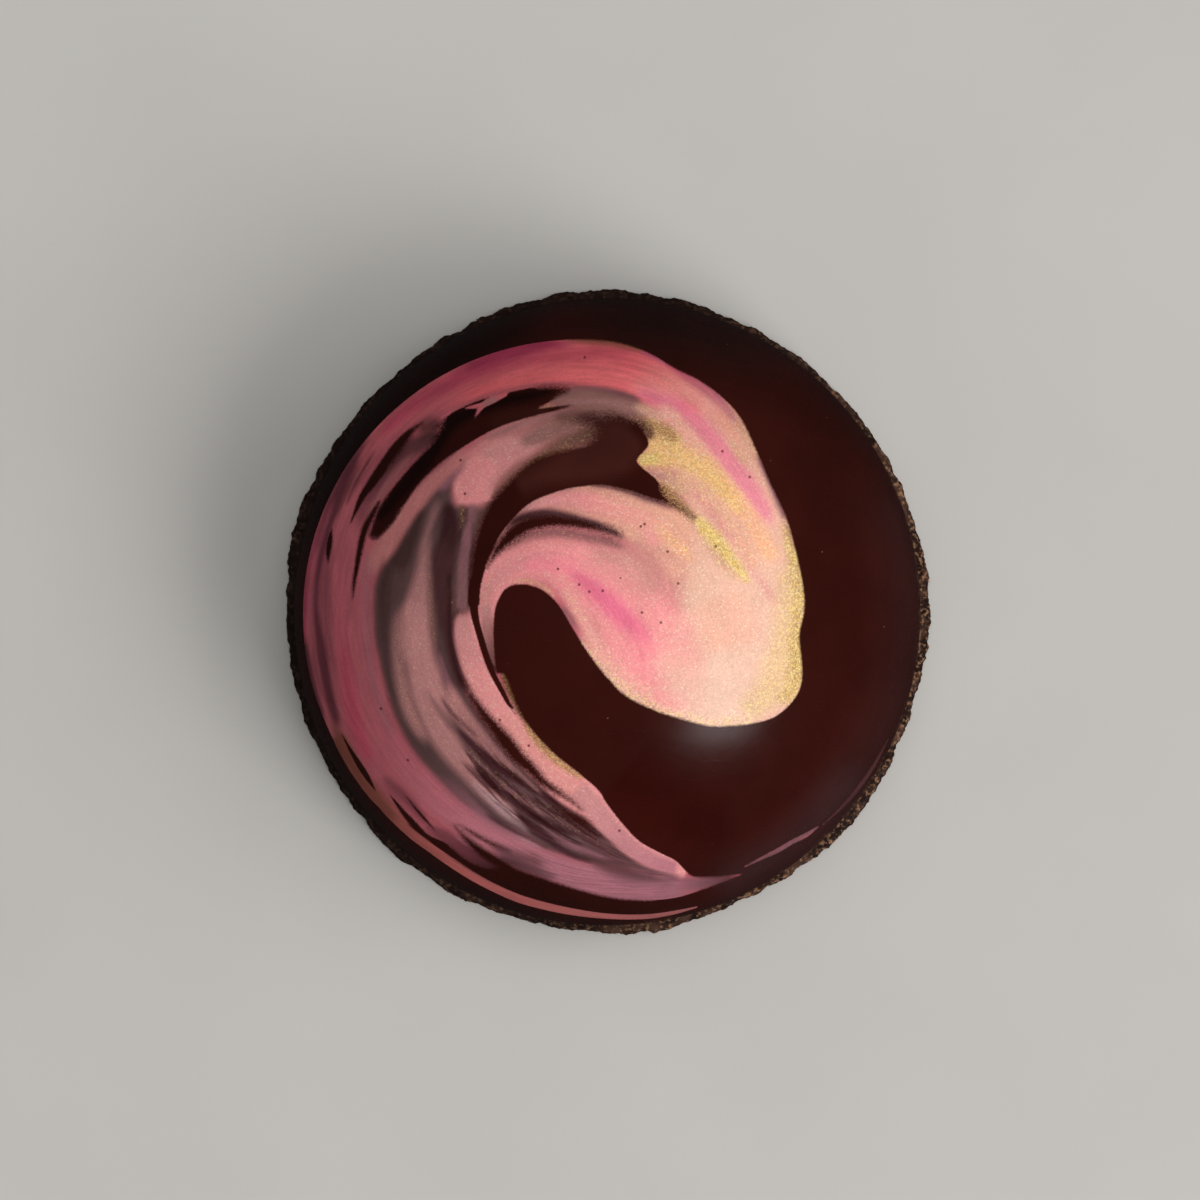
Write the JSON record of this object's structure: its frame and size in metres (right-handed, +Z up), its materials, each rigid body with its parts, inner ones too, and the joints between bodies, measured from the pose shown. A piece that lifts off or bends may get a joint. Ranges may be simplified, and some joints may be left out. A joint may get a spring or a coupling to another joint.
{
  "type": "chocolate praline",
  "caption": "Half-round moulded dark chocolate praline with a glossy swirled cocoa-butter finish and a thin ragged foot.",
  "frame": {"origin": "on the table, under the middle of the dome", "axes": "+Z up through the crown; seen from above with +Y up the page, +X is to the right and the swirl's broad head points to +X"},
  "size_m": [0.0291, 0.029, 0.0146],
  "materials": {
    "decorated_shell": "glossy dark chocolate with a thin pink, magenta, coral and gold cocoa-butter swirl",
    "closing_chocolate": "satin dark chocolate, ragged at the rim, with tan, bronze and gold-brown scraps"
  },
  "bodies": {
    "root": {"dome_shell": "decorated_shell", "closing_layer": "closing_chocolate"}
  },
  "joints": []
}
